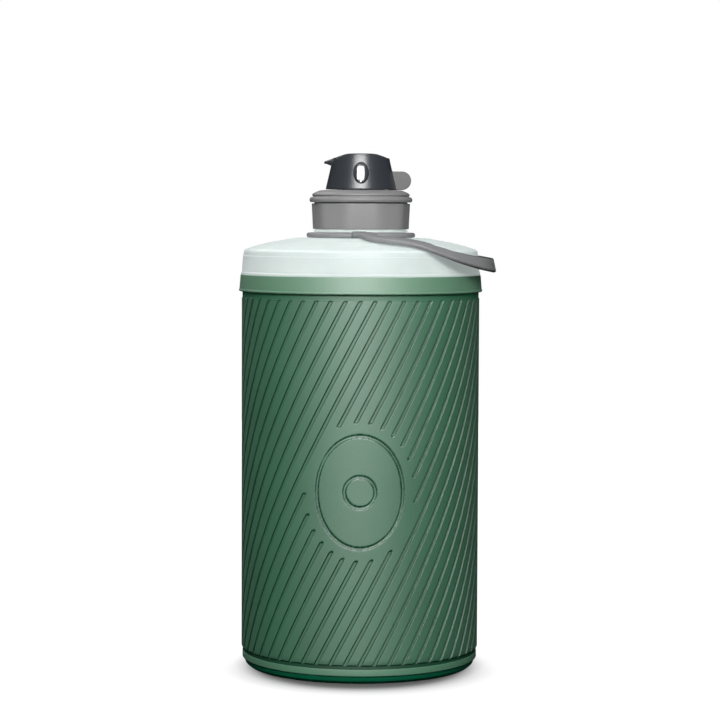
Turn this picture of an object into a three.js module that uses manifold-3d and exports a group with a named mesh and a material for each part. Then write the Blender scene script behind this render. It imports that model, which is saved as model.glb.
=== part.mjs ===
// A 1.5 litre folding water bottle: soft ribbed sleeve between a firm base cup and a white
// shoulder dome, with a screw cap, a quarter-turn spout and a carry loop around the neck.
// Millimetres, +Z up. The origin is the centre of the base's underside; the front faces -Y.
import * as THREE from "three";
import { mergeVertices } from "three/addons/utils/BufferGeometryUtils.js";
import Module from "manifold-3d";

const wasm = await Module();
wasm.setup();

// ---------- driving dimensions ----------
const GAP = 0.3; // room left between neighbouring pieces

const SLEEVE_R = 53.9; // outside of the sleeve's ribs
const SLEEVE_WALL = 1.9;
const SLEEVE_BOTTOM = 8.4;
const SLEEVE_TOP = 170.0;
const SLEEVE_BAND = 2.7; // plain band above the ribs

const BASE_R = 53.0; // rim band of the base cup
const BASE_RIM = [4.0, 6.9]; // bottom and top of the rim band
const BASE_FOOT_R = 46.5; // flat underside
const BASE_FLOOR = 3.0;

const COLLAR_BOTTOM = 170.3;
const COLLAR_TOP = 177.9;
const COLLAR_LIP_R = 55.2; // lower lip
const COLLAR_TOP_R = 54.4;

const DOME_R = 54.2; // where the dome leaves the collar
const DOME_WALL = 1.6;
const DOME_SKIRT_BOTTOM = 166.0;
const DOME_TOP = 194.3;
const DOME_CROWN_R = 30.0; // flat crown around the neck

const NECK_BORE_R = 17.6;
const NECK_R = 19.7; // root of the thread
const NECK_SEAT_R = 20.6; // plain part that the neck ring turns on
const NECK_FLANGE_R = 21.6;
const NECK_FLANGE = [197.2, 198.5];
const NECK_TOP = 211.5;
const THREAD_R = 20.5; // crest of the thread
const THREAD_PITCH = 4.5;
const THREAD_TURNS = 1.75;
const THREAD_START = 201.0;

const RING_R = 24.6; // neck ring
const RING_THICK = 2.3;

const SKIRT_BOTTOM = 198.8;
const SKIRT_TOP = 210.2;
const SKIRT_R = [21.7, 22.3]; // bottom and top of the cap's skirt
const SKIRT_BORE_R = 20.8;
const BEAD_R = 1.25; // half-round bead at the foot of the cap's top
const DECK_TOP = 216.0;
const DECK_THICK = 2.4;
const DECK_EDGE_R = 19.3;
const DECK_BORE_R = 11.0;

const SPOUT_FOOT_R = 16.3;
const SPOUT_SHOULDER_R = 13.0;
const SPOUT_SHOULDER_Z = 230.4;
const SPOUT_CROWN_R = 12.5;
const SPOUT_TOP = 232.3;
const SPOUT_RIDGE = 7.9; // the top is flat this far to each side, and slopes down beyond it
const SPOUT_SLOPE = 0.36;
const SPOUT_WALL = 1.6;
const DRINK_HOLE_R = 4.0;
const BEAK_TIP = 16.8; // distance of the beak's tip from the axis
const WING_R = 4.2;
const WING_CENTRE = [18.5, 220.8];
const WING_THICK = 3.0;

// Carry loop, half of its outer lower edge, from the neck ring round to the far end:
// bearing from +X in degrees, radius, height, roll of the strap in degrees.
const LOOP_STATIONS = [
  [98.9, 25.9, 195.1, 0],
  [97.6, 28.6, 195.0, 0],
  [92.0, 31.6, 194.7, 2],
  [86.2, 38.3, 193.4, 5],
  [79.3, 43.2, 192.5, 9],
  [75.3, 45.8, 192.2, 11],
  [70.4, 47.8, 191.8, 12],
  [65.4, 49.8, 191.1, 13],
  [60.4, 52.9, 189.8, 16],
  [55.9, 56.2, 188.0, 22],
  [50.6, 58.3, 185.9, 31],
  [45.0, 59.8, 183.9, 40],
  [31.0, 60.2, 180.9, 55],
  [18.0, 60.0, 179.5, 68],
  [0.0, 59.8, 178.8, 78],
];
const LOOP_WIDTH = 6.6;
const LOOP_THICK = [2.4, 1.8]; // at the neck ring and at the far end
const LOOP_STEPS = 26; // lengths along half the loop

const FINE = 48; // facets of the large round pieces
const COARSE = 36; // facets of the small round pieces

// ---------- materials ----------
const plastic = (color, roughness) =>
  new THREE.MeshStandardMaterial({ color, roughness, metalness: 0 });
const GREEN_SOFT = plastic(0x5f8a6f, 0.55);
const GREEN_FIRM = plastic(0x6b9a7c, 0.45);
const WHITE = new THREE.MeshStandardMaterial({
  color: 0xe4ece9,
  roughness: 0.4,
  metalness: 0,
  transparent: true,
  opacity: 0.75,
});
const LIGHT_GREY = plastic(0x959495, 0.5);
const STRAP_GREY = plastic(0x8a8a8b, 0.55);
const DARK = plastic(0x42454a, 0.35);
const SILICONE = plastic(0xd8d8d4, 0.6);
const VALVE_WHITE = plastic(0xe8e8e6, 0.5);

// ---------- helpers ----------
// Turns a profile of [radius, height] pairs about Z. A profile that isn't on the axis closes on itself.
function turned(profile, facets) {
  const onAxis = profile[0][0] === 0;
  const outline = onAxis ? profile : [...profile, profile[0]];
  const points = outline.map(([r, z]) => new THREE.Vector2(r, z));
  const geometry = new THREE.LatheGeometry(points, facets);
  return geometry.rotateX(Math.PI / 2);
}

// Points of an arc in a profile, with its centre, radius, angles in degrees and number of steps.
function arc(centreR, centreZ, radius, from, to, steps) {
  return Array.from({ length: steps + 1 }, (_, i) => {
    const angle = THREE.MathUtils.degToRad(from + ((to - from) * i) / steps);
    return [centreR + radius * Math.cos(angle), centreZ + radius * Math.sin(angle)];
  });
}

// Joins equal sections into one closed solid with flat ends. Each section is a ring of Vector3
// that runs clockwise for an eye looking back along the loft.
function lofted(sections) {
  const sides = sections[0].length;
  const positions = sections.flat().flatMap((p) => [p.x, p.y, p.z]);
  const faces = [];
  for (let i = 0; i + 1 < sections.length; i += 1) {
    for (let k = 0; k < sides; k += 1) {
      const a = i * sides + k;
      const b = i * sides + ((k + 1) % sides);
      faces.push(a, b, b + sides, a, b + sides, a + sides);
    }
  }
  const last = (sections.length - 1) * sides;
  for (let k = 1; k + 1 < sides; k += 1) {
    faces.push(0, k + 1, k);
    faces.push(last, last + k, last + k + 1);
  }
  const geometry = new THREE.BufferGeometry();
  geometry.setAttribute("position", new THREE.Float32BufferAttribute(positions, 3));
  geometry.setIndex(faces);
  return geometry;
}

function solidFrom(geometry) {
  const plain = geometry.clone();
  plain.deleteAttribute("normal");
  plain.deleteAttribute("uv");
  const merged = mergeVertices(plain, 1e-3);
  return new wasm.Manifold(
    new wasm.Mesh({
      numProp: 3,
      vertProperties: new Float32Array(merged.attributes.position.array),
      triVerts: new Uint32Array(merged.index.array),
    }),
  );
}

function geometryFrom(solid) {
  const mesh = solid.getMesh();
  const geometry = new THREE.BufferGeometry();
  const positions = new THREE.Float32BufferAttribute(mesh.vertProperties, 3);
  geometry.setAttribute("position", positions);
  geometry.setIndex(Array.from(mesh.triVerts));
  return geometry;
}

const bottle = new THREE.Group();
function place(name, geometry, material) {
  const mesh = new THREE.Mesh(geometry, material);
  mesh.name = name;
  bottle.add(mesh);
}

// ---------- base and sleeve ----------
// A shallow cup with a bright rim band; its inner lip stands up inside the sleeve's foot.
function baseCup() {
  const lipR = SLEEVE_R - SLEEVE_WALL - GAP;
  const [rimLow, rimHigh] = BASE_RIM;
  const recessR = BASE_R - 0.6;
  return turned(
    [
      [0, 0],
      [BASE_FOOT_R, 0],
      [BASE_FOOT_R + 3.2, 0.7],
      [BASE_FOOT_R + 5.3, 2.4],
      [BASE_R - 0.5, rimLow - 0.2],
      [BASE_R, rimLow + 0.2],
      [BASE_R, rimHigh],
      [recessR, rimHigh],
      [recessR, SLEEVE_BOTTOM - GAP],
      [lipR, SLEEVE_BOTTOM - GAP],
      [lipR, SLEEVE_BOTTOM + 5],
      [lipR - 1.5, SLEEVE_BOTTOM + 5],
      [lipR - 1.5, BASE_FLOOR + 3],
      [BASE_FOOT_R, BASE_FLOOR],
      [0, BASE_FLOOR],
    ],
    FINE,
  );
}

function bodySleeve() {
  const bore = SLEEVE_R - SLEEVE_WALL;
  return turned(
    [
      [bore, SLEEVE_BOTTOM],
      [SLEEVE_R, SLEEVE_BOTTOM],
      [SLEEVE_R, SLEEVE_TOP - SLEEVE_BAND],
      [SLEEVE_R - 0.4, SLEEVE_TOP - SLEEVE_BAND],
      [SLEEVE_R - 0.4, SLEEVE_TOP],
      [bore, SLEEVE_TOP],
    ],
    FINE,
  );
}

// ---------- collar and shoulder ----------
function collarRing() {
  const bore = SLEEVE_R - SLEEVE_WALL;
  return turned(
    [
      [bore, COLLAR_BOTTOM],
      [COLLAR_LIP_R, COLLAR_BOTTOM],
      [COLLAR_TOP_R, COLLAR_TOP],
      [bore, COLLAR_TOP],
    ],
    FINE,
  );
}

// The raised spiral on the neck, as a loft of a four-cornered section along a helix.
function neckThread() {
  const steps = Math.round(THREAD_TURNS * 28);
  const sections = [];
  for (let i = 0; i <= steps; i += 1) {
    const turn = (i / steps) * THREAD_TURNS;
    const angle = turn * 2 * Math.PI;
    const height = THREAD_START + turn * THREAD_PITCH;
    const fade = Math.min(1, i / 4, (steps - i) / 4);
    const crest = NECK_R + 0.05 + (THREAD_R - NECK_R - 0.05) * fade;
    const corner = (r, z) =>
      new THREE.Vector3(r * Math.cos(angle), r * Math.sin(angle), height + z);
    sections.push([
      corner(NECK_R - 0.5, -1.2),
      corner(NECK_R - 0.5, 0.7),
      corner(crest, 0.4),
      corner(crest, -0.5),
    ]);
  }
  return lofted(sections);
}

function shoulderDome() {
  const skirtR = SLEEVE_R - SLEEVE_WALL - GAP;
  const foot = COLLAR_TOP + GAP;
  const profile = [
    [skirtR - 1.5, DOME_SKIRT_BOTTOM],
    [skirtR, DOME_SKIRT_BOTTOM],
    [skirtR, foot],
    [DOME_R, foot],
    [DOME_R - 1.2, DOME_TOP - 6.4],
    [DOME_R - 2.1, DOME_TOP - 5.4],
    [DOME_R - 3.6, DOME_TOP - 4.5],
    [DOME_R - 6.3, DOME_TOP - 3.6],
    [DOME_R - 9.7, DOME_TOP - 2.7],
    [DOME_R - 13.8, DOME_TOP - 1.8],
    [DOME_R - 18.3, DOME_TOP - 0.9],
    [DOME_CROWN_R, DOME_TOP],
    [NECK_SEAT_R + GAP, DOME_TOP],
    [NECK_SEAT_R + GAP, DOME_TOP - DOME_WALL],
    [DOME_CROWN_R, DOME_TOP - DOME_WALL],
    [DOME_R - 14.2, DOME_TOP - 1.8 - DOME_WALL],
    [DOME_R - 7.2, DOME_TOP - 3.6 - DOME_WALL],
    [DOME_R - 3.4, DOME_TOP - 6.2 - DOME_WALL],
    [DOME_R - DOME_WALL, foot + DOME_WALL],
    [skirtR - 1.5, foot],
  ];
  return turned(profile, FINE);
}

// The neck stands in the dome's bore: a seat for the neck ring, a stop flange and the thread.
function threadedNeck() {
  const tube = [
    [NECK_BORE_R, DOME_TOP - DOME_WALL],
    [NECK_SEAT_R, DOME_TOP - DOME_WALL],
    [NECK_SEAT_R, NECK_FLANGE[0]],
    [NECK_FLANGE_R, NECK_FLANGE[0]],
    [NECK_SEAT_R - 0.2, NECK_FLANGE[1]],
    [NECK_R, NECK_FLANGE[1]],
    [NECK_R, NECK_TOP],
    [NECK_BORE_R, NECK_TOP],
  ];
  return geometryFrom(solidFrom(turned(tube, FINE)).add(solidFrom(neckThread())));
}

// ---------- neck ring and carry loop ----------
function neckRing() {
  const bottom = DOME_TOP + GAP;
  const top = bottom + RING_THICK;
  const bore = NECK_SEAT_R + GAP;
  return turned(
    [
      [bore, bottom],
      [RING_R - 0.5, bottom],
      [RING_R, bottom + 0.5],
      [RING_R, top - 0.5],
      [RING_R - 0.5, top],
      [bore, top],
    ],
    COARSE,
  );
}

// The strap is a flat ribbon that lies on the dome and rolls over its shoulder.
function carryLoop() {
  const edge = LOOP_STATIONS.map(([bearing, radius, height]) => {
    const angle = THREE.MathUtils.degToRad(bearing);
    const [x, y] = [radius * Math.cos(angle), -radius * Math.sin(angle)];
    return new THREE.Vector3(x, y, height);
  });
  const mirrored = edge.slice(0, -1).reverse();
  const wholeEdge = [...edge, ...mirrored.map((p) => new THREE.Vector3(p.x, -p.y, p.z))];
  const rolls = LOOP_STATIONS.map((station) => station[3]);
  const wholeRolls = [...rolls, ...rolls.slice(0, -1).reverse()];
  const curve = new THREE.CatmullRomCurve3(wholeEdge, false, "centripetal");
  const sections = [];
  for (let i = 0; i <= 2 * LOOP_STEPS; i += 1) {
    const t = i / (2 * LOOP_STEPS);
    const corner = curve.getPoint(t);
    const along = curve.getTangent(t).setZ(0).normalize();
    const inward = new THREE.Vector3(-along.y, along.x, 0);
    const place01 = t * (wholeRolls.length - 1);
    const before = Math.min(Math.floor(place01), wholeRolls.length - 2);
    const roll = THREE.MathUtils.degToRad(
      THREE.MathUtils.lerp(wholeRolls[before], wholeRolls[before + 1], place01 - before),
    );
    const towardsEnd = 1 - Math.abs(2 * t - 1);
    const thick = THREE.MathUtils.lerp(LOOP_THICK[0], LOOP_THICK[1], towardsEnd);
    const across = inward.clone().multiplyScalar(Math.cos(roll) * LOOP_WIDTH);
    across.z = Math.sin(roll) * LOOP_WIDTH;
    const up = inward.clone().multiplyScalar(-Math.sin(roll) * thick);
    up.z = Math.cos(roll) * thick;
    sections.push([
      corner,
      corner.clone().add(across),
      corner.clone().add(across).add(up),
      corner.clone().add(up),
    ]);
  }
  return lofted(sections);
}

// ---------- cap ----------
function capSkirt() {
  return turned(
    [
      [SKIRT_BORE_R, SKIRT_BOTTOM],
      [SKIRT_R[0], SKIRT_BOTTOM],
      [SKIRT_R[1], SKIRT_TOP],
      [SKIRT_BORE_R, SKIRT_TOP],
    ],
    FINE,
  );
}

function capTop() {
  const bottom = SKIRT_TOP + GAP;
  const beadZ = bottom + BEAD_R;
  const beadR = SKIRT_R[1] - 0.1;
  return turned(
    [
      [SKIRT_BORE_R, bottom],
      ...arc(beadR, beadZ, BEAD_R, -90, 90, 6),
      [beadR - 0.3, DECK_TOP - 2.6],
      [beadR - 0.7, DECK_TOP - 1.2],
      [DECK_EDGE_R + 0.9, DECK_TOP - 0.3],
      [DECK_EDGE_R, DECK_TOP],
      [DECK_BORE_R, DECK_TOP],
      [DECK_BORE_R, DECK_TOP - DECK_THICK],
      [SKIRT_BORE_R, DECK_TOP - DECK_THICK],
    ],
    FINE,
  );
}

function capGasket() {
  return turned(
    [
      [NECK_BORE_R - 0.2, NECK_TOP + GAP],
      [SKIRT_BORE_R - 0.4, NECK_TOP + GAP],
      [SKIRT_BORE_R - 0.4, DECK_TOP - DECK_THICK - GAP],
      [NECK_BORE_R - 0.2, DECK_TOP - DECK_THICK - GAP],
    ],
    COARSE,
  );
}

// ---------- valve ----------
// A round plate with two wedge-shaped ports that face each other, centred on the given bearing.
function portedPlate(radius, bottom, thick, bearing) {
  const plate = solidFrom(
    turned(
      [
        [0, bottom],
        [radius, bottom],
        [radius, bottom + thick],
        [0, bottom + thick],
      ],
      COARSE,
    ),
  );
  const half = THREE.MathUtils.degToRad(34);
  const middle = THREE.MathUtils.degToRad(bearing);
  let ported = plate;
  for (const side of [0, Math.PI]) {
    const port = new THREE.Shape();
    port.absarc(0, 0, radius - 2, middle + side - half, middle + side + half, false);
    port.absarc(0, 0, 3, middle + side + half, middle + side - half, true);
    const prism = new THREE.ExtrudeGeometry(port, {
      depth: thick + 2,
      bevelEnabled: false,
      curveSegments: 6,
    });
    prism.translate(0, 0, bottom - 1);
    ported = ported.subtract(solidFrom(prism));
  }
  return ported;
}

const SEAT_BOTTOM = DECK_TOP - DECK_THICK;
const SEAT_THICK = 1.8;
const SEAL_THICK = 0.8;
const ROTOR_THICK = 1.6;
const SEAL_BOTTOM = SEAT_BOTTOM + SEAT_THICK + GAP;
const ROTOR_BOTTOM = SEAL_BOTTOM + SEAL_THICK + GAP;
const VALVE_R = DECK_BORE_R - GAP;

// The plate that turns with the spout, with two lugs that the spout drives.
function portRotor() {
  let rotor = portedPlate(VALVE_R - 0.1, ROTOR_BOTTOM, ROTOR_THICK, 90);
  for (const side of [-1, 1]) {
    const lug = new THREE.BoxGeometry(1.6, 4, 5);
    lug.translate(side * (VALVE_R - 1.6), 0, ROTOR_BOTTOM + ROTOR_THICK + 2);
    rotor = rotor.add(solidFrom(lug));
  }
  return geometryFrom(rotor);
}

// A ring fixed on the deck; its lip holds the spout down and the O-ring in place.
function spoutRetainer() {
  const bottom = DECK_TOP + GAP;
  const inner = DECK_BORE_R + 0.2;
  return turned(
    [
      [inner, bottom],
      [inner + 1.4, bottom],
      [inner + 1.4, bottom + 2.2],
      [inner + 2.2, bottom + 2.5],
      [inner + 1.6, bottom + 3.2],
      [inner, bottom + 3.2],
    ],
    COARSE,
  );
}

function spoutRing() {
  const minor = 0.6;
  const middleR = DECK_BORE_R + 1.6 + GAP + minor;
  return turned(
    arc(middleR, DECK_TOP + GAP + 0.3 + minor, minor, 0, 360, 8).slice(0, -1),
    COARSE,
  );
}

// ---------- spout ----------
function twistSpout() {
  const foot = DECK_TOP + GAP;
  const cavity = [
    [0, foot - 1],
    [SPOUT_FOOT_R - SPOUT_WALL, foot - 1],
    [SPOUT_FOOT_R - SPOUT_WALL, foot],
    [SPOUT_SHOULDER_R - SPOUT_WALL, SPOUT_SHOULDER_Z - 2.4],
    [SPOUT_RIDGE, SPOUT_TOP - SPOUT_WALL],
    [DRINK_HOLE_R, SPOUT_TOP - SPOUT_WALL],
    [DRINK_HOLE_R, SPOUT_TOP + 1],
    [0, SPOUT_TOP + 1],
  ];
  const outside = [
    [0, foot],
    [SPOUT_FOOT_R, foot],
    [SPOUT_SHOULDER_R, SPOUT_SHOULDER_Z],
    [SPOUT_CROWN_R, SPOUT_TOP],
    [0, SPOUT_TOP],
  ];
  // The top is a low ridge that runs front to back, so it slopes only to the sides.
  const ridge = new THREE.Shape();
  const reach = 20;
  const drop = SPOUT_SLOPE * (reach - SPOUT_RIDGE);
  ridge.moveTo(-reach, foot - 1);
  ridge.lineTo(reach, foot - 1);
  ridge.lineTo(reach, SPOUT_TOP - drop);
  ridge.lineTo(SPOUT_RIDGE, SPOUT_TOP);
  ridge.lineTo(-SPOUT_RIDGE, SPOUT_TOP);
  ridge.lineTo(-reach, SPOUT_TOP - drop);
  const slab = new THREE.ExtrudeGeometry(ridge, { depth: 2 * reach, bevelEnabled: false });
  slab.rotateX(Math.PI / 2).translate(0, reach, 0);
  // The beak is a pointed visor at the left of the crown, and the wing is a round thumb tab.
  const beakPlan = new THREE.Shape();
  beakPlan.moveTo(-8, -5);
  beakPlan.lineTo(-12.4, -4.2);
  beakPlan.quadraticCurveTo(-BEAK_TIP, -1.6, -BEAK_TIP, 0);
  beakPlan.quadraticCurveTo(-BEAK_TIP, 1.6, -12.4, 4.2);
  beakPlan.lineTo(-8, 5);
  const beak = new THREE.ExtrudeGeometry(beakPlan, {
    depth: 1.6,
    bevelEnabled: false,
    curveSegments: 4,
  });
  beak.translate(0, 0, SPOUT_SHOULDER_Z - 2.3);
  const [wingX, wingZ] = WING_CENTRE;
  const wingSide = new THREE.Shape();
  wingSide.moveTo(11, wingZ - WING_R);
  wingSide.lineTo(wingX, wingZ - WING_R);
  wingSide.absarc(wingX, wingZ, WING_R, -Math.PI / 2, Math.PI / 2, false);
  wingSide.lineTo(11, wingZ + WING_R);
  const wing = new THREE.ExtrudeGeometry(wingSide, {
    depth: WING_THICK,
    bevelEnabled: false,
    curveSegments: 10,
  });
  wing.rotateX(Math.PI / 2).translate(0, WING_THICK / 2, 0);
  return geometryFrom(
    solidFrom(turned(outside, COARSE))
      .intersect(solidFrom(slab))
      .add(solidFrom(beak))
      .add(solidFrom(wing))
      .subtract(solidFrom(turned(cavity, COARSE))),
  );
}

// ---------- assembly ----------
place("base_cup", baseCup(), GREEN_FIRM);
place("body_sleeve", bodySleeve(), GREEN_SOFT);
place("collar_ring", collarRing(), GREEN_FIRM);
place("shoulder_dome", shoulderDome(), WHITE);
place("threaded_neck", threadedNeck(), WHITE);
place("neck_ring", neckRing(), STRAP_GREY);
place("carry_loop", carryLoop(), STRAP_GREY);
place("cap_skirt", capSkirt(), LIGHT_GREY);
place("cap_top", capTop(), LIGHT_GREY);
place("cap_gasket", capGasket(), SILICONE);
place(
  "valve_seat",
  geometryFrom(portedPlate(VALVE_R, SEAT_BOTTOM, SEAT_THICK, 0)),
  VALVE_WHITE,
);
place(
  "valve_seal",
  geometryFrom(portedPlate(VALVE_R, SEAL_BOTTOM, SEAL_THICK, 0)),
  SILICONE,
);
place("valve_rotor", portRotor(), VALVE_WHITE);
place("spout_retainer", spoutRetainer(), VALVE_WHITE);
place("spout_oring", spoutRing(), SILICONE);
place("twist_spout", twistSpout(), DARK);

export default bottle;
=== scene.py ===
"""Looks of the folding water bottle: ribbed sleeve, white shoulder, screw cap, twist spout."""

import math

import bpy
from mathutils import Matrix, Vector


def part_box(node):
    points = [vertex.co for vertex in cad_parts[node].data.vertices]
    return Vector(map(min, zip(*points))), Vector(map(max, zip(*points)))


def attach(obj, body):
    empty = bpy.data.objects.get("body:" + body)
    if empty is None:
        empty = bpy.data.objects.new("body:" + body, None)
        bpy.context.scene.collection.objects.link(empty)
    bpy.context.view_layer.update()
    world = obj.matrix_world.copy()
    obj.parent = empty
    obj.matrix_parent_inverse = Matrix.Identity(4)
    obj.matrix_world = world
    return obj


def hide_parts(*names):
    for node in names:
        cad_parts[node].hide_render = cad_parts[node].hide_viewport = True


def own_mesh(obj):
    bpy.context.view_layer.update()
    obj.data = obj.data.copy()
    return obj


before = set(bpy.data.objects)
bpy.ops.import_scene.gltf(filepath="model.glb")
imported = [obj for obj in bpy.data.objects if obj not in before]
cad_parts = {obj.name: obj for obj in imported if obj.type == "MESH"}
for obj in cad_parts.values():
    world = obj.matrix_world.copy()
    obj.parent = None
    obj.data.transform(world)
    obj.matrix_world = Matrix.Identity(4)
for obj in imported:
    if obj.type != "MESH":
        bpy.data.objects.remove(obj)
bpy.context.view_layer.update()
MM = 0.001


# ---------- sizes in millimetres, from the frame where it has them ----------
def low_z(node):
    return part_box(node)[0][2] / MM


def high_z(node):
    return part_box(node)[1][2] / MM


def outer_r(node):
    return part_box(node)[1][0] / MM


SLEEVE_R = outer_r("body_sleeve")
SLEEVE_LOW = low_z("body_sleeve")
SLEEVE_HIGH = high_z("body_sleeve")
SLEEVE_BORE = SLEEVE_R - 1.9
SLEEVE_BAND = 2.7  # height of the plain band over the ribs

GROOVES = 52
GROOVE_TURN = 13  # pitches that a groove passes round from bottom to top
GROOVE_HALF = 0.86
GROOVE_DEPTH = 0.7
BAND_STEP = 0.3  # the plain band is this much smaller in radius than the ribs
EMBLEM_Z = 84.5
EMBLEM_RINGS = ((19.2, 24.6), (6.8, 6.8))  # half widths and half heights of a plain oval and round
EMBLEM_LINE = (0.75, 0.42)  # half width and depth of their engraved line
CLEAR_HALF = (25.6, 31.2)  # the grooves stop at this oval

FOOT_R = 50.4
RIM_LOW = 3.4
RIM_HIGH = 6.6

COLLAR_LOW = low_z("collar_ring")
COLLAR_HIGH = high_z("collar_ring")
COLLAR_R = outer_r("collar_ring")

GAP = 0.3  # between neighbouring solids of the frame
DOME_TOP = low_z("neck_ring") - GAP
DOME_R = outer_r("shoulder_dome")
NECK_TOP = low_z("cap_gasket") - GAP
NECK_R = 19.7
NECK_BORE = 17.6

RING_LOW = low_z("neck_ring")
RING_HIGH = high_z("neck_ring")
RING_R = outer_r("neck_ring")
RING_BORE = 20.9

SKIRT_LOW = low_z("cap_skirt")
SKIRT_HIGH = high_z("cap_skirt")
SKIRT_R = outer_r("cap_skirt")
CAP_BORE = 20.8
CAP_TOP_LOW = low_z("cap_top")
DECK_Z = high_z("cap_top")
DECK_THICK = 2.4
DECK_BORE = 11.0

SPOUT_LOW = low_z("twist_spout")
SPOUT_HIGH = high_z("twist_spout")
SPOUT_R = 16.05
SPOUT_SHOULDER = (12.8, 230.4)
SPOUT_WALL = 1.6
RIDGE_HALF = 6.5  # the spout's top slopes down to the sides beyond this
RIDGE_SLOPE = 0.33
DRINK_HOLE_R = 4.0
BADGE_Z = 223.6
BADGE_HALF = (3.85, 5.3)
TAB_CENTRE = (18.5, 220.3)
TAB_R = 4.2
TAB_ROOT = 12.0
TAB_HALF = 1.5
BEAK_ROOT = 8.5
BEAK_TIP = 16.75

FRONT = -math.pi / 2
SKY_STRENGTH = 0.17


# ---------- scene ----------
def make_camera():
    side, distance, height = -0.0004, 1.0820, 0.2052
    pitch, roll, field = 3.507, -0.22, 17.19
    data = bpy.data.cameras.new("camera")
    data.sensor_width = 36.0
    data.angle = math.radians(field)
    data.clip_end = 50
    camera = bpy.data.objects.new("camera", data)
    camera.location = (side, -distance, height)
    camera.rotation_euler = (math.radians(90 - pitch), math.radians(roll), 0)
    bpy.context.scene.collection.objects.link(camera)
    bpy.context.scene.camera = camera


def area_light(name, place, aim, size, power, glossy=True):
    data = bpy.data.lights.new(name, "AREA")
    data.shape = "RECTANGLE"
    data.size, data.size_y = size
    data.energy = power
    light = bpy.data.objects.new(name, data)
    light.location = place
    aim_line = Vector(aim) - Vector(place)
    light.rotation_euler = aim_line.to_track_quat("-Z", "Y").to_euler()
    light.visible_camera = False
    light.visible_glossy = glossy
    bpy.context.scene.collection.objects.link(light)


def mapped(tree, value, from_range=(0.0, 1.0), to_range=(0.0, 1.0)):
    """The value moved from one range to another."""
    node = tree.nodes.new("ShaderNodeMapRange")
    node.inputs["From Min"].default_value = from_range[0]
    node.inputs["From Max"].default_value = from_range[1]
    node.inputs["To Min"].default_value = to_range[0]
    node.inputs["To Max"].default_value = to_range[1]
    tree.links.new(value, node.inputs["Value"])
    return node.outputs["Result"]


def ramped(tree, value, stops, interpolation="LINEAR"):
    """The colour for the value on a ramp whose stops are (place, colour)."""
    node = tree.nodes.new("ShaderNodeValToRGB")
    ramp = node.color_ramp
    ramp.interpolation = interpolation
    for element, (place, colour) in zip(ramp.elements, (stops[0], stops[-1])):
        element.position = place
        element.color = colour
    for place, colour in stops[1:-1]:
        ramp.elements.new(place).color = colour
    tree.links.new(value, node.inputs["Fac"])
    return node.outputs["Color"]


def make_world():
    """White behind the bottle, and a dim soft sky, darker towards the ground, that lights it."""
    world = bpy.data.worlds.new("studio")
    bpy.context.scene.world = world
    world.use_nodes = True
    tree = world.node_tree
    tree.nodes.clear()
    out = tree.nodes.new("ShaderNodeOutputWorld")
    seen = tree.nodes.new("ShaderNodeBackground")
    seen.inputs["Color"].default_value = (1, 1, 1, 1)
    seen.inputs["Strength"].default_value = 1.0
    place = tree.nodes.new("ShaderNodeTexCoord")
    axes = tree.nodes.new("ShaderNodeSeparateXYZ")
    tree.links.new(place.outputs["Generated"], axes.inputs[0])
    low, high = (0.02, 0.025, 0.022, 1), (0.95, 1.0, 0.98, 1)
    sky = ramped(tree, axes.outputs["Z"], [(0.0, low), (0.9, high)])
    soft = tree.nodes.new("ShaderNodeBackground")
    soft.inputs["Strength"].default_value = SKY_STRENGTH
    tree.links.new(sky, soft.inputs["Color"])
    mix = tree.nodes.new("ShaderNodeMixShader")
    path = tree.nodes.new("ShaderNodeLightPath")
    tree.links.new(path.outputs["Is Camera Ray"], mix.inputs[0])
    tree.links.new(soft.outputs[0], mix.inputs[1])
    tree.links.new(seen.outputs[0], mix.inputs[2])
    tree.links.new(mix.outputs[0], out.inputs[0])


def floor_white():
    """White glow with painted shadow: soft around the foot, darker where the bottle stands."""
    material = bpy.data.materials.new("floor_white")
    material.use_nodes = True
    tree = material.node_tree
    shader = tree.nodes["Principled BSDF"]
    shader.inputs["Base Color"].default_value = (0.12, 0.12, 0.12, 1)
    shader.inputs["Roughness"].default_value = 0.9
    shader.inputs["Specular IOR Level"].default_value = 0.0
    place = tree.nodes.new("ShaderNodeTexCoord")
    away = tree.nodes.new("ShaderNodeVectorMath")
    away.operation = "DISTANCE"
    away.inputs[1].default_value = (0, -0.016, 0)
    tree.links.new(place.outputs["Object"], away.inputs[0])
    # Painted shadow: the floor's glow fades to dark towards the foot.
    reach = mapped(tree, away.outputs["Value"], (0.038, 0.080))
    levels = ((0.0, 0.0), (0.1, 0.03), (0.17, 0.18), (0.22, 0.34), (0.29, 0.52),
              (0.35, 0.65), (0.44, 0.78), (0.54, 0.87), (0.7, 0.94), (1.0, 1.0))
    stops = [(share, (level, level, level, 1)) for share, level in levels]
    painted_light_glow = ramped(tree, reach, stops, "B_SPLINE")
    tree.links.new(painted_light_glow, shader.inputs["Emission Color"])
    under = tree.nodes.new("ShaderNodeVectorMath")
    under.operation = "LENGTH"
    tree.links.new(place.outputs["Object"], under.inputs[0])
    # Painted contact shadow: a little less glow right where the bottle stands.
    painted_contact_shadow = mapped(tree, under.outputs["Value"], (0.049, 0.058), (0.75, 1.0))
    tree.links.new(painted_contact_shadow, shader.inputs["Emission Strength"])
    return material


def make_floor():
    """A white floor that fades into the white behind it."""
    bpy.ops.mesh.primitive_circle_add(vertices=128, radius=1.6, fill_type="NGON")
    floor = bpy.context.object
    floor.name = "floor"
    floor.data.materials.append(floor_white())
    floor.visible_diffuse = False
    floor.visible_glossy = False
    floor.visible_transmission = False


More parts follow.
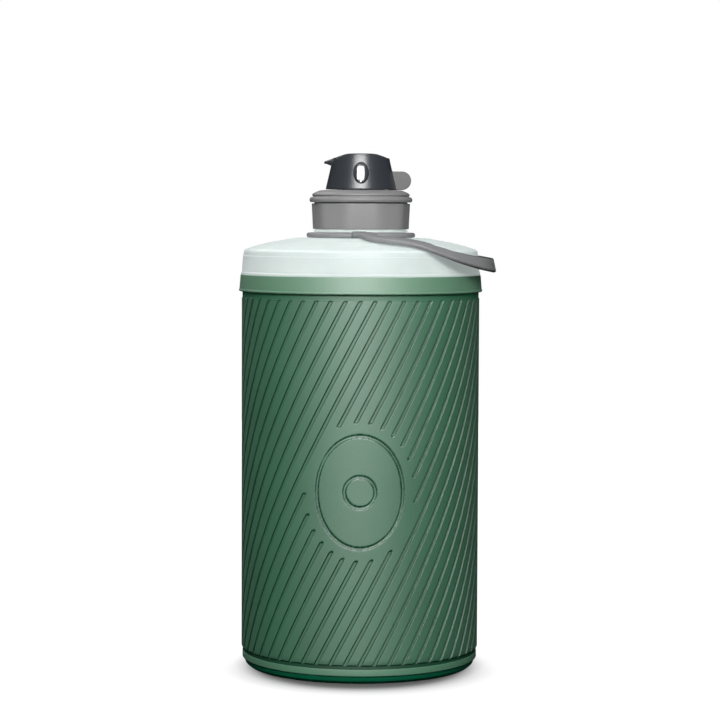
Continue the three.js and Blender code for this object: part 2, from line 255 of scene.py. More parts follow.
def make_studio():
    make_camera()
    make_world()
    make_floor()
    area_light("front_key", (-0.03, -0.82, 0.63), (0, 0, 0.2), (0.7, 0.34), 11.0)
    area_light("front_strip", (-0.01, -0.84, 0.5), (0, 0, 0.2), (0.16, 0.3), 1.5)
    area_light("right_fill", (0.8, -0.64, 0.7), (0, 0, 0.2), (0.3, 0.5), 1.3, glossy=False)
    area_light("left_fill", (-0.8, -0.64, 0.7), (0, 0, 0.2), (0.3, 0.5), 0.8, glossy=False)
    area_light("back_fill", (0, 1.25, 0.27), (0, 0, 0.12), (0.9, 0.5), 6, glossy=False)
    area_light("back_key", (-0.65, 0.72, 1.05), (0, 0, 0.14), (0.5, 0.4), 4.5)
    area_light("top_soft", (0, -0.1, 1.1), (0, 0, 0), (0.8, 0.8), 0.6, glossy=False)
    view = bpy.context.scene.view_settings
    view.view_transform = "Standard"
    view.look = "None"


# ---------- materials ----------
def linear(rgb):
    """Linear colour of an sRGB colour given from 0 to 255."""
    def one(c):
        c /= 255
        return c / 12.92 if c <= 0.04045 else ((c + 0.055) / 1.055) ** 2.4
    return tuple(one(c) for c in rgb) + (1.0,)


def moulded(name, dark, light, roughness, grain=(2200, 0.03), subsurface=0.0, coat=0.0,
            specular=0.5, ior=1.5, painted_light_glow=0.0):
    """A moulded plastic: colour drifts between dark and light, with a fine spark-eroded grain.

    grain is the noise scale per metre and the bump height in millimetres. painted_light_glow is
    painted light: the surface gives off its own colour as light, standing in for fill light in
    its shade, and on the white shoulder partly for light the plastic passes on."""
    material = bpy.data.materials.new(name)
    material.use_nodes = True
    tree = material.node_tree
    shader = tree.nodes["Principled BSDF"]
    place = tree.nodes.new("ShaderNodeTexCoord")

    drift = tree.nodes.new("ShaderNodeTexNoise")
    drift.inputs["Scale"].default_value = 40
    drift.inputs["Detail"].default_value = 3
    tree.links.new(place.outputs["Object"], drift.inputs["Vector"])
    tint = ramped(tree, drift.outputs["Fac"], [(0.3, linear(dark)), (0.7, linear(light))])
    tree.links.new(tint, shader.inputs["Base Color"])

    fine = tree.nodes.new("ShaderNodeTexNoise")
    fine.inputs["Scale"].default_value = grain[0]
    fine.inputs["Detail"].default_value = 2
    tree.links.new(place.outputs["Object"], fine.inputs["Vector"])
    bump = tree.nodes.new("ShaderNodeBump")
    bump.inputs["Strength"].default_value = 1.0
    bump.inputs["Distance"].default_value = grain[1] * MM
    tree.links.new(fine.outputs["Fac"], bump.inputs["Height"])
    tree.links.new(bump.outputs["Normal"], shader.inputs["Normal"])

    sheen = mapped(tree, fine.outputs["Fac"], to_range=(roughness - 0.05, roughness + 0.05))
    tree.links.new(sheen, shader.inputs["Roughness"])

    shader.inputs["Specular IOR Level"].default_value = specular
    shader.inputs["IOR"].default_value = ior
    # Painted light: the surface glows in its own colour, as strong as painted_light_glow.
    tree.links.new(tint, shader.inputs["Emission Color"])
    shader.inputs["Emission Strength"].default_value = painted_light_glow
    shader.inputs["Coat Weight"].default_value = coat
    shader.inputs["Coat Roughness"].default_value = 0.12
    if subsurface:
        shader.inputs["Subsurface Weight"].default_value = subsurface
        shader.inputs["Subsurface Radius"].default_value = (1.0, 1.0, 1.0)
        shader.inputs["Subsurface Scale"].default_value = 0.004
    return material


# Each painted_light_glow below is painted light: a glow that lifts the part's shade like fill
# light.
MATERIALS = {
    "green_soft": moulded("green_soft_tpu", (19, 91, 58), (25, 97, 63), 0.61, specular=1.0,
                          ior=1.9, grain=(1600, 0.07)),
    # Painted shade: a darker copy of the sleeve's green for the groove walls and the recess over
    # the rim.
    "green_step_painted_shade": moulded("step_wall_painted_shade", (4, 58, 36), (7, 64, 40), 0.55, specular=0.6,
                          ior=1.6),
    # Painted shade and painted fill: a darker copy of the sleeve's green for the groove floors,
    # with a glow that lifts them.
    "green_groove_painted_shade": moulded("groove_floor_painted_shade", (13, 76, 47), (17, 82, 52), 0.63, specular=1.0,
                            ior=1.8, grain=(1600, 0.07), painted_light_glow=0.15),
    # Painted shade and painted fill: a slightly darker copy of the sleeve's green that glows, for
    # the band in the collar's shadow.
    "green_band_painted_fill": moulded("band_painted_fill_tpu", (17, 80, 51), (21, 86, 56), 0.63, specular=0.9,
                          ior=1.8, grain=(1600, 0.07), painted_light_glow=0.2),
    # Painted light: the collar's own green glows a little, painted fill in its shade.
    "green_firm": moulded("green_firm_moulding", (76, 118, 92), (82, 124, 97), 0.6,
                          specular=1.0, ior=1.75, grain=(1600, 0.06), painted_light_glow=0.08),
    # Painted shade: a darker copy of the collar's green, so the base rim's sides fall darker.
    "green_rim_painted_shade": moulded("rim_moulding_painted_shade", (64, 116, 87), (69, 121, 92), 0.6,
                         specular=1.0, ior=1.75, grain=(1600, 0.06)),
    # Painted shade: a dark green for the foot's underside, where only shade falls, with a faint
    # glow.
    "foot_painted_shade": moulded("foot_underside_painted_shade", (6, 88, 60), (10, 94, 66), 0.7, specular=0.1,
                          painted_light_glow=0.03),
    # Painted light: the white shoulder glows strongly, partly light the translucent plastic passes
    # on, partly painted fill.
    "white_plastic": moulded("white_translucent_painted_glow", (162, 170, 168), (171, 179, 177), 0.5,
                             subsurface=1.0, specular=0.3, painted_light_glow=0.68),
    # Painted light: the cap's grey glows a little, painted fill in its shade.
    "cap_grey": moulded("cap_grey_satin", (118, 117, 118), (123, 122, 123), 0.5, specular=0.42,
                        ior=1.6, painted_light_glow=0.1),
    # Painted light: the strap's grey glows a little, painted fill on its shaded end.
    "strap_grey": moulded("strap_grey_soft", (116, 116, 117), (122, 122, 123), 0.6, painted_light_glow=0.08),
    # Painted shade: a dark grey for the strap's inner edge, where shade falls.
    "strap_inner_painted_shade": moulded("strap_edge_painted_shade", (62, 61, 63), (68, 67, 69), 0.7, specular=0.2),
    "tab_grey": moulded("tab_grey_satin", (98, 98, 99), (103, 103, 104), 0.6, specular=0.3),
    "spout_dark": moulded("spout_dark_satin", (44, 47, 52), (49, 52, 57), 0.32,
                          grain=(2000, 0.02), specular=0.5, ior=1.6),
    "badge": moulded("badge_polished", (42, 45, 50), (48, 51, 56), 0.14, grain=(900, 0.002),
                     coat=0.8, specular=0.9, ior=1.8),
    "silicone": moulded("silicone_milky", (205, 206, 203), (216, 217, 214), 0.55,
                        subsurface=0.3),
    "valve_white": moulded("valve_white_moulding", (222, 223, 221), (232, 233, 231), 0.4),
}


# ---------- mesh helpers, all in millimetres ----------
def add_piece(name, shape, material, body, replaces=(), sharp=40):
    """A piece from a shape's verts and faces, which moves with the body."""
    verts, faces = shape
    mesh = bpy.data.meshes.new(name)
    mesh.from_pydata([tuple(c * MM for c in v) for v in verts], [], faces)
    mesh.validate()
    mesh.update()
    mesh.materials.append(MATERIALS[material])
    mesh.shade_smooth()
    mesh.set_sharp_from_angle(angle=math.radians(sharp))
    piece = bpy.data.objects.new(name, mesh)
    bpy.context.scene.collection.objects.link(piece)
    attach(piece, body)
    if replaces:
        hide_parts(*replaces)
    return piece


def paint(piece, material, chosen):
    """Gives the faces for which chosen(face) is true another material."""
    piece.data.materials.append(MATERIALS[material])
    for face in piece.data.polygons:
        if chosen(face):
            face.material_index = len(piece.data.materials) - 1


def rounded(corners, steps=5):
    """A profile whose corners (r, z) or (r, z, fillet) are rounded by their fillets."""
    count = len(corners)
    closed = corners[0][0] > 0
    points = []
    for i, corner in enumerate(corners):
        here = Vector(corner[:2])
        fillet = corner[2] if len(corner) > 2 else 0
        if not fillet or (not closed and i in (0, count - 1)):
            points.append(tuple(here))
            continue
        before = Vector(corners[i - 1][:2]) - here
        after = Vector(corners[(i + 1) % count][:2]) - here
        half = before.angle(after) / 2
        reach = min(fillet / math.tan(half), before.length * 0.49, after.length * 0.49)
        start = here + before.normalized() * reach
        end = here + after.normalized() * reach
        for k in range(steps + 1):
            t = k / steps
            bend = start.lerp(here, t).lerp(here.lerp(end, t), t)
            points.append(tuple(bend))
    return points


def stitched(rings, closed=False):
    """Faces between rings of vertex numbers. A ring of one number is a point."""
    facets = max(len(ring) for ring in rings)
    pairs = list(zip(rings, rings[1:]))
    if closed:
        pairs.append((rings[-1], rings[0]))
    faces = []
    for a, b in pairs:
        for k in range(facets):
            n = (k + 1) % facets
            if len(a) == 1:
                faces.append((a[0], b[n], b[k]))
            elif len(b) == 1:
                faces.append((a[k], a[n], b[0]))
            else:
                faces.append((a[k], a[n], b[n], b[k]))
    return faces


def revolved(profile, facets=160, warp=None):
    """Verts and faces of a profile turned about Z. One that starts off the axis is closed."""
    closed = profile[0][0] > 0
    verts, rings = [], []
    for r, z in profile:
        if r <= 1e-9:
            rings.append([len(verts)])
            verts.append((0, 0, z))
            continue
        ring = []
        for k in range(facets):
            angle = 2 * math.pi * k / facets
            rr, zz = warp(r, z, angle) if warp else (r, z)
            ring.append(len(verts))
            verts.append((rr * math.cos(angle), rr * math.sin(angle), zz))
        rings.append(ring)
    return verts, stitched(rings, closed)


def joined(*shapes):
    """One list of verts and faces from several closed shells."""
    verts, faces = [], []
    for more_verts, more_faces in shapes:
        start = len(verts)
        verts += more_verts
        faces += [tuple(i + start for i in face) for face in more_faces]
    return verts, faces


def smoothstep(x):
    x = min(1.0, max(0.0, x))
    return x * x * (3 - 2 * x)


def spread(start, end, steps):
    """The even steps between start and end, without the two."""
    return [start + (end - start) * i / steps for i in range(1, steps)]


def rings_of(count, sides):
    """The vertex numbers of equal rings that follow each other."""
    return [list(range(i * sides, (i + 1) * sides)) for i in range(count)]


def lofted(sections):
    """Verts and faces of a closed solid through equal rings of points."""
    sides = len(sections[0])
    verts = [tuple(p) for ring in sections for p in ring]
    rings = rings_of(len(sections), sides)
    faces = stitched(rings)
    faces.append(tuple(reversed(rings[0])))
    faces.append(tuple(rings[-1]))
    return verts, faces


def oval_lens(profile, centre_z, half_width, half_height, surface, facets=64):
    """An oval patch wrapped on the bottle's front. profile runs from the middle of its face to the
    middle of its back as (share of the oval, height above the surface)."""
    verts, rings = [], []
    for share, height in profile:
        if share == 0:
            rings.append([len(verts)])
            verts.append((0, -(surface(centre_z) + height), centre_z))
            continue
        ring = []
        for k in range(facets):
            turn = -2 * math.pi * k / facets
            z = centre_z + share * half_height * math.sin(turn)
            radius = surface(z)
            angle = FRONT + share * half_width * math.cos(turn) / radius
            ring.append(len(verts))
            out = radius + height
            verts.append((out * math.cos(angle), out * math.sin(angle), z))
        rings.append(ring)
    return verts, stitched(rings)


# ---------- sleeve ----------
PITCH_ANGLE = 2 * math.pi / GROOVES
PITCH = PITCH_ANGLE * SLEEVE_R
BAND_LOW = SLEEVE_HIGH - SLEEVE_BAND
TURN_PER_MM = GROOVE_TURN * PITCH_ANGLE / (BAND_LOW - SLEEVE_LOW)
LEAN_COS = math.cos(math.atan(TURN_PER_MM * SLEEVE_R))
SLEEVE_GREEN_AND_PAINTED_SHADES = ("green_soft", "green_step_painted_shade", "green_groove_painted_shade", "green_band_painted_fill")


def groove_angle(k, offset, z):
    """Bearing of the point that lies offset past the middle of groove k at height z."""
    turn = TURN_PER_MM * (min(max(z, SLEEVE_LOW), BAND_LOW) - SLEEVE_LOW)
    return (k + offset / PITCH) * PITCH_ANGLE + turn


def from_front(angle):
    """The angle as a turn of less than half a circle to either side of the front."""
    return (angle - FRONT + math.pi) % (2 * math.pi) - math.pi


def groove_gap(k):
    """Heights between which groove k is interrupted by the clear oval, or None."""
    inside = []
    steps = 399
    for i in range(steps + 1):
        z = SLEEVE_LOW + (BAND_LOW - SLEEVE_LOW) * i / steps
        across = from_front(groove_angle(k, 0, z)) * SLEEVE_R / CLEAR_HALF[0]
        if across ** 2 + ((z - EMBLEM_Z) / CLEAR_HALF[1]) ** 2 < 1:
            inside.append(z)
    return (min(inside), max(inside)) if inside else None


def emblem_cut(angle, z):
    """Depth of the plain oval and the plain round engraved in the front."""
    across = from_front(angle) * SLEEVE_R
    up = z - EMBLEM_Z
    if abs(across) > CLEAR_HALF[0] or abs(up) > CLEAR_HALF[1]:
        return 0.0
    half, depth = EMBLEM_LINE
    cut = 0.0
    for wide, tall in EMBLEM_RINGS:
        share = math.hypot(across / wide, up / tall)
        if share < 0.2:
            continue
        slope = math.hypot(across / wide ** 2, up / tall ** 2) / share
        away = abs(share - 1) / slope
        cut = max(cut, depth * (1 - smoothstep((away - half * 0.45) / (half * 0.75))))
    return cut


def sleeve_cut(k, offset, z, gaps):
    """Depth below the ribs of the point that lies offset past the middle of groove k."""
    nearest, away = (k, offset) if offset <= PITCH / 2 else (k + 1, PITCH - offset)
    side = away * LEAN_COS
    gap = gaps[nearest % GROOVES]
    if gap and gap[0] < z < gap[1]:
        side = math.hypot(side, min(z - gap[0], gap[1] - z) / LEAN_COS)
    cut = GROOVE_DEPTH * (1 - smoothstep((side - GROOVE_HALF * 0.6) / (GROOVE_HALF * 0.5)))
    cut = max(cut, emblem_cut(groove_angle(k, offset, z), z))
    band = smoothstep((z - BAND_LOW + 0.12) / 0.3)
    foot = 0.35 * (1 - smoothstep((z - SLEEVE_LOW) / 0.4))
    return max(cut * (1 - band) + BAND_STEP * band, foot)


def sleeve_green_or_painted_shade(cuts, z):
    """From its corners' depths, a face's rib green, or painted shade for a step down,
    a groove floor or the top band.
    """
    if z > BAND_LOW:
        return "green_band_painted_fill"
    if max(cuts) - min(cuts) > GROOVE_DEPTH * 0.2:
        return "green_step_painted_shade"
    return "green_groove_painted_shade" if min(cuts) > GROOVE_DEPTH * 0.75 else "green_soft"


def sleeve_columns():
    """(groove, millimetres past its middle), closest at the groove walls and under the emblem."""
    walls = [0, 0.3, 0.5, 0.62, 0.74, 0.86, 0.98, 1.1, 1.35]
    far_walls = [PITCH - w for w in reversed(walls[1:])]
    coarse = walls + [PITCH / 2] + far_walls
    fine = walls + spread(walls[-1], far_walls[0], 13) + far_walls
    columns = []
    for k in range(GROOVES):
        crosses = groove_gap(k) or groove_gap((k + 1) % GROOVES)
        columns += [(k, offset) for offset in (fine if crosses else coarse)]
    return columns


def sleeve_heights():
    """Heights of the outer rows, closest under the emblem and at the two ends."""
    low, high = EMBLEM_Z - CLEAR_HALF[1] - 2, EMBLEM_Z + CLEAR_HALF[1] + 2
    foot = [SLEEVE_LOW, SLEEVE_LOW + 0.25, SLEEVE_LOW + 0.6]
    band = [BAND_LOW + step for step in (-0.6, -0.3, -0.12, 0.06, 0.24, 0.6)]
    return (foot + spread(foot[-1], low, 20) + [low] + spread(low, high, 150) + [high]
            + spread(high, band[0], 20) + band + [SLEEVE_HIGH - 0.3, SLEEVE_HIGH])


def make_sleeve():
    gaps = [groove_gap(k) for k in range(GROOVES)]
    columns = sleeve_columns()
    outer = sleeve_heights()
    inner = [SLEEVE_HIGH] + spread(SLEEVE_HIGH, SLEEVE_LOW, 12) + [SLEEVE_LOW]
    cuts = [sleeve_cut(k, offset, z, gaps) for z in outer for k, offset in columns]
    radii = [SLEEVE_R - cut for cut in cuts] + [SLEEVE_BORE] * (len(inner) * len(columns))
    places = [(groove_angle(k, offset, z), z) for z in outer + inner for k, offset in columns]
    verts = [(r * math.cos(angle), r * math.sin(angle), z) for r, (angle, z) in zip(radii, places)]
    faces = stitched(rings_of(len(outer) + len(inner), len(columns)), closed=True)
    sleeve = add_piece("ribbed_sleeve", (verts, faces), SLEEVE_GREEN_AND_PAINTED_SHADES[0], "sleeve",
                       ["body_sleeve"], sharp=80)
    # Painted shade: steps, groove floors and the top band get darker or glowing copies of the
    # sleeve's green.
    for finish_or_shade in SLEEVE_GREEN_AND_PAINTED_SHADES[1:]:
        sleeve.data.materials.append(MATERIALS[finish_or_shade])
    for face in sleeve.data.polygons:
        corners = list(face.vertices)
        if max(corners) < len(cuts):
            finish_or_shade = sleeve_green_or_painted_shade([cuts[i] for i in corners], verts[corners[0]][2])
            face.material_index = SLEEVE_GREEN_AND_PAINTED_SHADES.index(finish_or_shade)
    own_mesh(sleeve)


# ---------- base, collar and shoulder ----------
def make_base():
    plug = SLEEVE_BORE - 0.3
    plug_wall = 1.5
    plug_top = 13.4
    floor_r, joint_r = 46.5, 50.6
    rim = SLEEVE_R - 0.45
    recess = SLEEVE_R - GROOVE_DEPTH
    profile = rounded([
        (joint_r, RIM_LOW - 0.1, 0.1), (52.8, RIM_LOW, 0.3), (rim, RIM_LOW + 0.4, 0.5),
        (rim, RIM_HIGH, 0.35), (recess, RIM_HIGH + 0.1, 0.1), (recess, SLEEVE_LOW, 0.1),
        (plug, SLEEVE_LOW, 0.1), (plug, plug_top, 0.4), (plug - plug_wall, plug_top, 0.4),
        (plug - plug_wall, 6, 1.5), (floor_r, 3.2, 1), (floor_r, 2.6, 0.1), (joint_r, 2.6, 0.1),
    ])
    cup = add_piece("base_rim", revolved(profile, 200), "green_rim_painted_shade", "base",
                    ["base_cup"])
    # Painted shade on the recessed band over the rim.
    paint(cup, "green_step_painted_shade", lambda face: face.center.z > (RIM_HIGH + 0.05) * MM)
    foot = rounded([
        (0, 0), (FOOT_R, 0, 0.7), (FOOT_R + 1.6, 1.3, 1.2), (52.8, RIM_LOW + 0.05, 0.4),
        (floor_r, 3.5, 0.2), (floor_r, 3, 0.2), (0, 3),
    ])
    # Painted shade: the foot's underside is coloured dark in place of its shadow.
    add_piece("base_foot", revolved(foot, 200), "foot_painted_shade", "base")


def make_collar():
    seat = SLEEVE_HIGH + 0.03
    seat_r = SLEEVE_R - BAND_STEP
    profile = rounded([
        (SLEEVE_BORE, seat, 0.1), (seat_r + 0.05, seat, 0.1), (seat_r + 0.3, COLLAR_LOW, 0.1),
        (COLLAR_R - 0.3, COLLAR_LOW, 0.15), (COLLAR_R, COLLAR_LOW + 0.3, 0.15),
        (COLLAR_R, COLLAR_LOW + 0.75, 0.12), (COLLAR_R - 0.24, COLLAR_LOW + 1.15, 0.15),
        (COLLAR_R - 0.75, COLLAR_HIGH, 0.5), (SLEEVE_BORE, COLLAR_HIGH, 0.2),
    ])
    add_piece("collar_band", revolved(profile, 200), "green_firm", "shoulder",
              ["collar_ring"])


def neck_thread():
    turns, pitch, start, crest = 1.75, 4.5, 201.0, 20.5
    root, buried = NECK_R, NECK_R - 0.5
    steps, fade_steps = 160, 14
    sections = []
    for i in range(steps + 1):
        turn = i / steps * turns
        angle, height = turn * 2 * math.pi, start + turn * pitch
        fade = smoothstep(min(i, steps - i) / fade_steps)
        top = root - 0.1 + (crest - root + 0.1) * fade
        outline = ((buried, -1.2), (buried, 0.7), (top - 0.15, 0.45), (top, 0.2), (top, -0.3),
                   (top - 0.15, -0.6))
        sections.append([(r * math.cos(angle), r * math.sin(angle), height + z)
                         for r, z in outline])
    return lofted(sections)


def make_dome():
    top = DOME_TOP
    foot = COLLAR_HIGH - 0.15
    skirt, skirt_low, skirt_wall = SLEEVE_BORE - 0.3, 166, 1.5
    flange, flange_top = 21.6, top + 4.2
    profile = rounded([
        (skirt - skirt_wall, skirt_low, 0.3), (skirt, skirt_low, 0.3), (skirt, foot, 0.1),
        (DOME_R, foot, 0.2), (DOME_R, foot + 1.15, 0.25), (DOME_R - 0.3, foot + 1.4, 0.2),
        (DOME_R - 0.85, top - 8.0, 0.2), (DOME_R - 1.05, top - 7.75, 0.2),
        (DOME_R - 1.3, top - 5.7, 0.9), (DOME_R - 2.1, top - 4.95, 0.6),
        (DOME_R - 3.4, top - 4.6, 1.4), (DOME_R - 6.3, top - 3.6, 4),
        (DOME_R - 13.8, top - 1.8, 12), (30.5, top, 8),
        (flange - 1, top, 0.4), (flange - 1, top + 2.9, 0.1), (flange, top + 2.9, 0.2),
        (flange - 1.2, flange_top, 0.3), (NECK_R, flange_top, 0.2), (NECK_R, NECK_TOP, 0.5),
        (NECK_BORE, NECK_TOP, 0.5), (NECK_BORE, top - 1.6, 0.8), (30, top - 1.6, 8),
        (DOME_R - 14.2, top - 3.4, 12), (DOME_R - 7.2, top - 5.2, 4),
        (DOME_R - 3.4, top - 7.8, 2), (DOME_R - 1.6, foot + 1.6, 0.5),
        (skirt - skirt_wall, foot, 0.3),
    ], 7)
    add_piece("shoulder_shell", joined(revolved(profile, 200), neck_thread()), "white_plastic",
              "shoulder", ["shoulder_dome", "threaded_neck"], sharp=30)


# ---------- neck ring and carry loop ----------
def make_neck_ring():
    profile = rounded([
        (RING_BORE, RING_LOW, 0.3), (RING_R, RING_LOW, 0.9), (RING_R, RING_HIGH - 0.15, 1.1),
        (RING_BORE, RING_HIGH, 0.5),
    ])
    add_piece("neck_collar", revolved(profile, 120), "strap_grey", "tether",
              ["neck_ring"])


# half of the loop's outer lower edge: bearing from +X in degrees, radius, height, roll in degrees
LOOP_STATIONS = [
    (98.9, 25.9, 195.1, 0), (97.6, 28.6, 195.0, 0), (92.0, 31.6, 194.7, 2),
    (86.2, 38.3, 193.4, 5), (79.3, 43.2, 192.5, 9), (75.3, 45.8, 192.2, 11),
    (70.4, 47.8, 191.8, 12), (65.4, 49.8, 191.1, 13), (60.4, 52.9, 189.8, 16),
    (55.9, 56.2, 188.0, 22), (50.6, 58.3, 185.9, 31), (45.0, 59.8, 183.9, 40),
    (31.0, 60.2, 180.9, 55), (18.0, 60.0, 179.5, 68), (0.0, 59.8, 178.8, 78),
]
LOOP_WIDTH = 6.6
LOOP_THICK = (2.4, 1.8)  # at the neck ring and at the far end
LOOP_CORNER = 0.75


def catmull(p0, p1, p2, p3, t):
    """The point at share t from p1 to p2 on a centripetal Catmull-Rom curve."""
    knots = [0.0]
    for a, b in ((p0, p1), (p1, p2), (p2, p3)):
        knots.append(knots[-1] + max((b - a).length, 1e-6) ** 0.5)
    k0, k1, k2, k3 = knots
    u = k1 + t * (k2 - k1)
    a1 = p0.lerp(p1, (u - k0) / (k1 - k0))
    a2 = p1.lerp(p2, (u - k1) / (k2 - k1))
    a3 = p2.lerp(p3, (u - k2) / (k3 - k2))
    b1 = a1.lerp(a2, (u - k0) / (k2 - k0))
    b2 = a2.lerp(a3, (u - k1) / (k3 - k1))
    return b1.lerp(b2, (u - k1) / (k2 - k1))


def loop_path():
    """Points (x, y, height, roll) along the whole loop's outer lower edge."""
    edge = []
    for bearing, radius, height, roll in LOOP_STATIONS:
        angle = math.radians(bearing)
        edge.append(Vector((radius * math.cos(angle), -radius * math.sin(angle), height, roll)))
    edge += [Vector((p[0], -p[1], p[2], p[3])) for p in reversed(edge[:-1])]
    edge = [edge[0] * 2 - edge[1]] + edge + [edge[-1] * 2 - edge[-2]]
    between = 8
    path = [catmull(*edge[i - 1:i + 3], k / between)
            for i in range(1, len(edge) - 2) for k in range(between)]
    return path + [edge[-2]]


def strap_section(thick):
    """A flat strap's section with round corners, as (across, up), five points to a corner."""
    wide, high = LOOP_WIDTH - LOOP_CORNER, thick - LOOP_CORNER
    outline = []
    for middle_across, middle_up, turn in ((wide, LOOP_CORNER, -90), (wide, high, 0),
                                           (LOOP_CORNER, high, 90),
                                           (LOOP_CORNER, LOOP_CORNER, 180)):
        for step in range(5):
            angle = math.radians(turn + step * 22.5)
            outline.append((middle_across + LOOP_CORNER * math.cos(angle),
                            middle_up + LOOP_CORNER * math.sin(angle)))
    return outline


def make_loop():
    path = loop_path()
    sections = []
    for i, point in enumerate(path):
        along = path[min(i + 1, len(path) - 1)] - path[max(i - 1, 0)]
        along = Vector((along[0], along[1], 0)).normalized()
        inward = Vector((-along.y, along.x, 0))
        roll = math.radians(point[3])
        across = inward * math.cos(roll) + Vector((0, 0, math.sin(roll)))
        up = inward * -math.sin(roll) + Vector((0, 0, math.cos(roll)))
        start = Vector(point[:3])
        far = 1 - abs(2 * i / (len(path) - 1) - 1)
        thick = LOOP_THICK[0] + (LOOP_THICK[1] - LOOP_THICK[0]) * far
        sections.append([start + across * a + up * b for a, b in strap_section(thick)])
    strap = add_piece("carry_strap", lofted(sections), "strap_grey", "loop",
                      ["carry_loop"], sharp=50)
    sides = len(sections[0])
    ends = (len(sections) - 1) * sides
    # Painted shade on the faces of the strap's inner edge.
    paint(strap, "strap_inner_painted_shade", lambda face: face.index < ends and 2 <= face.index % sides <= 8)


# ---------- cap ----------
def cap_flats(r, z, angle):
    """Five wide and five narrow flats, cut softly into the round skirt."""
    inner_r, wide_r, narrow_r = 21.2, 21.6, 21.75
    spacing, off_front, blend = 72, 2.3, 0.45
    if r < inner_r:
        return r, z
    facing = math.degrees(angle) + 90 - off_front
    wide = (facing + spacing / 2) % spacing - spacing / 2
    narrow = (facing + spacing) % spacing - spacing / 2
    cuts = [wide_r / math.cos(math.radians(wide)), narrow_r / math.cos(math.radians(narrow))]
    flat = min(cuts) - (SKIRT_R - r) * 0.8
    share = min(1.0, max(0.0, 0.5 + 0.5 * (r - flat) / blend))
    return r + (flat - r) * share - blend * share * (1 - share), z


def make_skirt():
    foot = SKIRT_LOW - 0.4
    inside = CAP_BORE + 0.3
    profile = rounded([
        (CAP_BORE, foot, 0.2), (21.75, foot, 0.3), (SKIRT_R, SKIRT_HIGH - 0.35, 0.2),
        (inside, SKIRT_HIGH - 0.2, 0.1), (inside, CAP_TOP_LOW + 0.3, 0.1),
        (CAP_BORE, CAP_TOP_LOW + 0.3, 0.1),
    ])
    add_piece("screw_skirt", revolved(profile, 240, cap_flats), "cap_grey", "cap",
              ["cap_skirt"])


def make_cap_top():
    """The bead, a narrow groove, the band over it and the deck under the spout."""
    low, deck = CAP_TOP_LOW, DECK_Z
    profile = rounded([
        (CAP_BORE, low, 0.2), (22.9, low, 0.6), (23.45, low + 1.1, 0.9), (22.9, low + 2.2, 0.7),
        (21.75, low + 2.5, 0.1), (21.75, low + 2.8, 0.1), (22.2, low + 3.0, 0.3),
        (21.95, deck - 1.7, 0.8), (CAP_BORE, deck - 1.0, 0.8), (18.6, deck - 0.15, 0.6),
        (17.0, deck, 0.5), (DECK_BORE, deck, 0.3), (DECK_BORE, deck - DECK_THICK, 0.2),
        (CAP_BORE, deck - DECK_THICK, 0.5),
    ])
    add_piece("grip_top", revolved(profile), "cap_grey", "cap", ["cap_top"])


def make_gasket():
    inside, outside = NECK_BORE - 0.2, CAP_BORE - 0.4
    low, high = NECK_TOP + GAP, DECK_Z - DECK_THICK - GAP
    profile = rounded([
        (inside, low, 0.3), (outside, low, 0.3), (outside, high, 0.3), (inside, high, 0.3),
    ])
    add_piece("neck_gasket", revolved(profile, 120), "silicone", "gasket",
              ["cap_gasket"])


def finish_valve():
    """The frame's own pieces inside the spout, which only need their materials."""
    for node in ("valve_seat", "valve_seal", "valve_rotor", "spout_retainer", "spout_oring"):
        finish_or_shade = "silicone" if node in ("valve_seal", "spout_oring") else "valve_white"
        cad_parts[node].data.materials.clear()
        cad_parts[node].data.materials.append(MATERIALS[finish_or_shade])


# ---------- spout ----------
def spout_radius(z):
    share = (z - SPOUT_LOW) / (SPOUT_SHOULDER[1] - SPOUT_LOW)
    return SPOUT_R + (SPOUT_SHOULDER[0] - SPOUT_R) * share


def ridge_height(x):
    """Height of the spout's top, a low ridge that runs front to back."""
    soft = 0.8
    beyond = abs(x) - RIDGE_HALF
    return SPOUT_HIGH - RIDGE_SLOPE * soft * math.log1p(math.exp(beyond / soft))


def make_cone():
    shoulder_r, shoulder_z = SPOUT_SHOULDER
    top = SPOUT_HIGH
    brim = shoulder_r - (top - shoulder_z) * 0.27
    under_top = top - SPOUT_WALL
    wall = [(spout_radius(z), z) for z in spread(SPOUT_LOW, shoulder_z, 12)]
    crown = [(brim - 1.2 - step * 0.6, top) for step in range(12)]
    profile = rounded(
        [(SPOUT_R, SPOUT_LOW, 0.3)] + wall + [(shoulder_r, shoulder_z), (brim, top, 0.5)] + crown
        + [(DRINK_HOLE_R, top, 0.4), (DRINK_HOLE_R, under_top, 0.3),
           (RIDGE_HALF, under_top, 0.6), (shoulder_r - SPOUT_WALL, shoulder_z - 2.4, 0.6),
           (SPOUT_R - SPOUT_WALL, SPOUT_LOW, 0.3)])

    def under_ridge(r, z, angle):
        if z > top - 1.5 and r > DRINK_HOLE_R - 0.01:
            z = min(z, ridge_height(r * math.cos(angle)) - (top - z) * 0.35)
        return r, z

    return revolved(profile, 200, under_ridge)


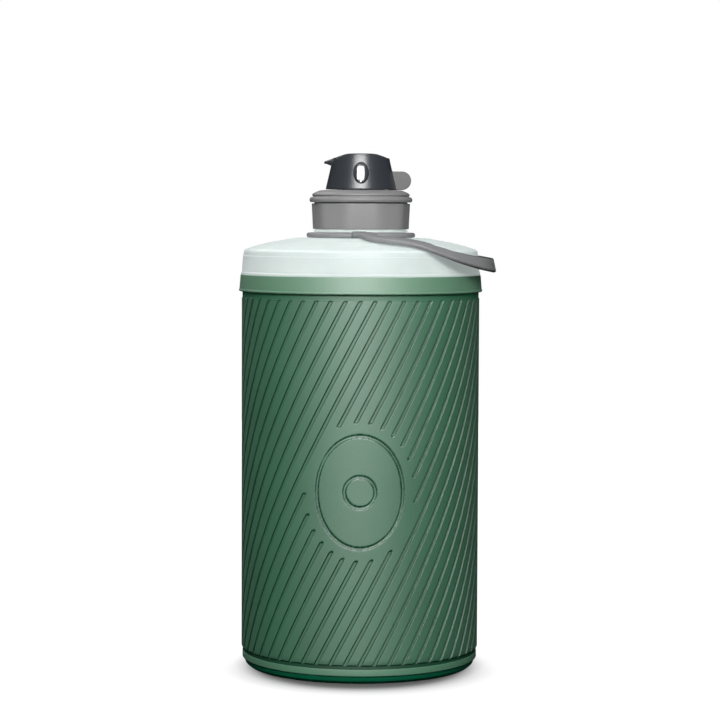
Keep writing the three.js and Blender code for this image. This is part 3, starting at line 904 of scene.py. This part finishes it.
def make_beak():
    """A small pointed visor that carries on the ridge's left slope, with a blunt tip."""
    steps, sides = 22, 24
    half_width, underside, square = 4.8, 226.75, 0.6
    sections = []
    for i in range(steps + 1):
        share = math.sin(i / steps * math.pi / 2)
        out = BEAK_ROOT + (BEAK_TIP - BEAK_ROOT) * share
        wide = max(half_width * math.sqrt(1 - share ** 2.4), 0.25)
        blunt = math.sqrt(max(1 - max((out - BEAK_TIP + 0.45) / 0.46, 0) ** 2, 0))
        top = ridge_height(out) - 0.02
        low = underside + 1.05 * smoothstep((out - 12.6) / 3.6)
        middle = (top + low) / 2
        thick = max((top - low) / 2 * blunt, 0.08)
        ring = []
        for k in range(sides):
            angle = 2 * math.pi * k / sides
            c, s = math.cos(angle), math.sin(angle)
            y = wide * math.copysign(abs(c) ** square, c)
            ring.append((-out, y, middle + thick * math.copysign(abs(s) ** square, s)))
        sections.append(ring)
    return lofted(sections)


def make_tab():
    """A round flat thumb tab that runs into the cone."""
    centre_x, centre_z = TAB_CENTRE
    straight = [TAB_ROOT + (centre_x - TAB_ROOT) * i / 8 for i in range(9)]
    outline = [(x, centre_z - TAB_R) for x in straight]
    for i in range(1, 32):
        angle = math.radians(-90 + 180 * i / 32)
        outline.append((centre_x + TAB_R * math.cos(angle), centre_z + TAB_R * math.sin(angle)))
    outline += [(x, centre_z + TAB_R) for x in reversed(straight)]
    edge = ((1, 0.5), (0.98, 0.22), (0.9, 0.05), (0.8, 0.0))
    sections = []
    for side, inset in list(edge) + [(-side, inset) for side, inset in reversed(edge)]:
        ring = []
        for x, z in outline:
            step = Vector((max(x - centre_x, 0), z - centre_z)).normalized() * inset
            ring.append((x - step.x, side * TAB_HALF, z - step.y))
        sections.append(ring)
    return lofted(sections)


def make_badge():
    """A plain raised oval with a fine recess around it."""
    lens = [(0, 0.42), (0.3, 0.39), (0.6, 0.27), (0.8, 0.12), (0.92, 0.0), (0.94, -0.1),
            (1.0, -0.1), (1.0, -0.6), (0, -0.6)]
    return oval_lens(lens, BADGE_Z, *BADGE_HALF, spout_radius)


def make_spout():
    add_piece("spout_cone", joined(make_cone(), make_beak()), "spout_dark", "spout",
              ["twist_spout"], sharp=45)
    add_piece("spout_tab", make_tab(), "tab_grey", "spout", sharp=50)
    add_piece("spout_badge", make_badge(), "badge", "spout", sharp=60)


make_studio()
make_sleeve()
make_base()
make_collar()
make_dome()
make_neck_ring()
make_loop()
make_skirt()
make_cap_top()
make_gasket()
finish_valve()
make_spout()
